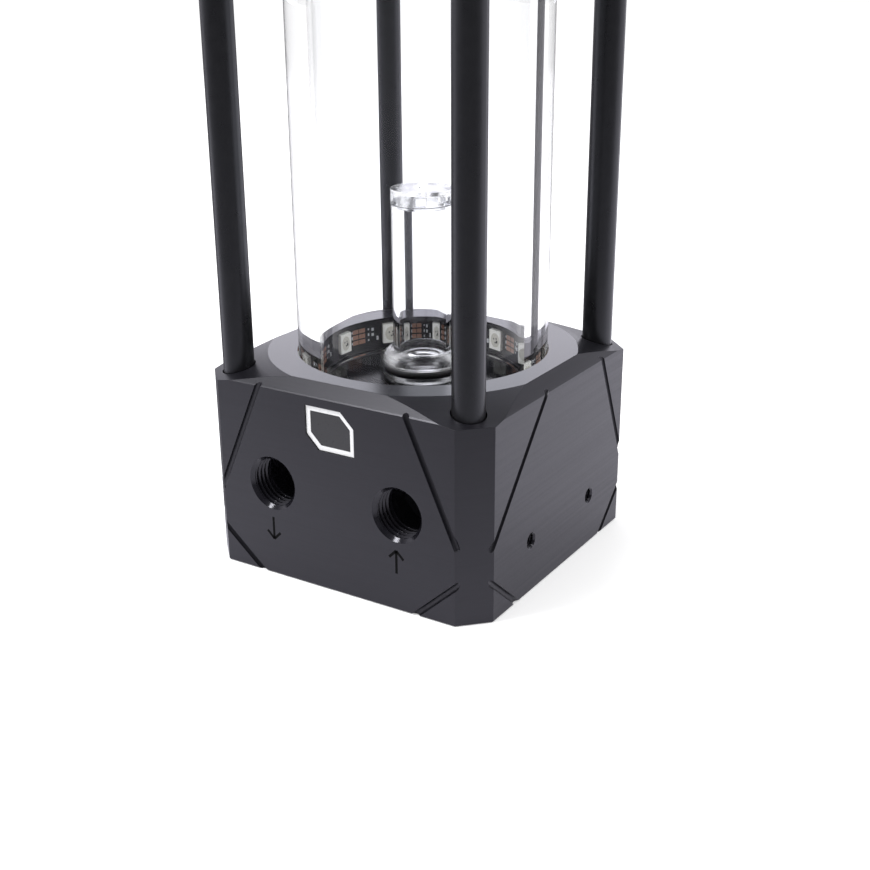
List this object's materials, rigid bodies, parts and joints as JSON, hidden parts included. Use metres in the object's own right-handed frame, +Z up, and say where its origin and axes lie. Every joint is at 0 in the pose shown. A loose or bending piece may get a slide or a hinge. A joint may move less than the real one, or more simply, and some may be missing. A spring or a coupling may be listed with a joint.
{
  "type": "coolant pump reservoir",
  "caption": "Square-based coolant reservoir with a glass tank tube held by corner rods, a standpipe, a light strip, threaded ports and a circulation pump in the base.",
  "frame": {"origin": "middle of the underside of the base", "axes": "+Z up along the tank's axis, the two threaded ports open towards -Y, the two small side holes towards +X"},
  "size_m": [0.0768, 0.0768, 0.2101],
  "materials": {
    "black_acetal": "machined black acetal, satin",
    "grey_plate": "satin dark plate",
    "clear_glass": "clear borosilicate tube, polished ends",
    "clear_acrylic": "polished clear acrylic",
    "gloss_black": "polished black",
    "black_rod": "black anodised, satin",
    "black_steel": "blackened steel",
    "steel": "plain steel",
    "seal_rubber": "black rubber",
    "strip_black": "black flexible circuit",
    "led_white": "white lamp body with a pale window",
    "white_plastic": "white acetal",
    "pump_black": "moulded glass-filled plastic",
    "magnet": "moulded ferrite",
    "carbon": "carbon bush",
    "ceramic": "polished ceramic",
    "core_steel": "stamped laminations",
    "copper_wire": "enamelled copper wire",
    "board_green": "circuit board"
  },
  "bodies": {
    "reservoir": {"base_block": "black_acetal", "bottom_plate": "grey_plate", "base_rod_screws": "black_steel", "rod_front_left": "black_rod", "rod_front_right": "black_rod", "rod_back_left": "black_rod", "rod_back_right": "black_rod", "cap_rod_screws": "black_steel", "glass_tube": "clear_glass", "lower_tube_seal": "seal_rubber", "upper_tube_seal": "seal_rubber", "top_cap": "black_acetal", "floor_plate": "gloss_black", "floor_screws": "steel", "riser_socket": "clear_acrylic", "riser_seal": "seal_rubber", "riser_tube": "clear_acrylic", "riser_cap": "clear_acrylic", "led_strip": "strip_black", "led_packages": "led_white", "volute_plate": "white_plastic", "volute_screws": "steel", "pump_shaft": "ceramic", "pump_housing": "pump_black", "pump_cover": "pump_black", "stator_core": "core_steel", "stator_coils": "copper_wire", "drive_board": "board_green", "pump_seal": "seal_rubber", "pump_screws": "steel", "cable_grommet": "seal_rubber"},
    "rotor": {"impeller": "pump_black", "rotor_magnet": "magnet", "bearing_bush": "carbon"},
    "plug_lift": {"fill_plug_seal": "seal_rubber"},
    "plug": {"fill_plug": "black_rod"}
  },
  "joints": [
    {"name": "rotor_spin", "type": "hinge", "parent": "reservoir", "child": "rotor", "pos_m": [0, 0, 0.015], "axis": [0, 0, 1], "continuous": true},
    {"name": "plug_rise", "type": "slide", "parent": "reservoir", "child": "plug_lift", "axis": [0, 0, 1], "range_m": [0, 0.00802]},
    {"name": "plug_turn", "type": "hinge", "parent": "plug_lift", "child": "plug", "pos_m": [0, 0, 0.2057], "axis": [0, 0, 1], "range_deg": [0, 2160]}
  ],
  "couplings": [
    {"joint": "plug_turn", "follows": "plug_rise", "rad_per_m": 4699.5}
  ]
}
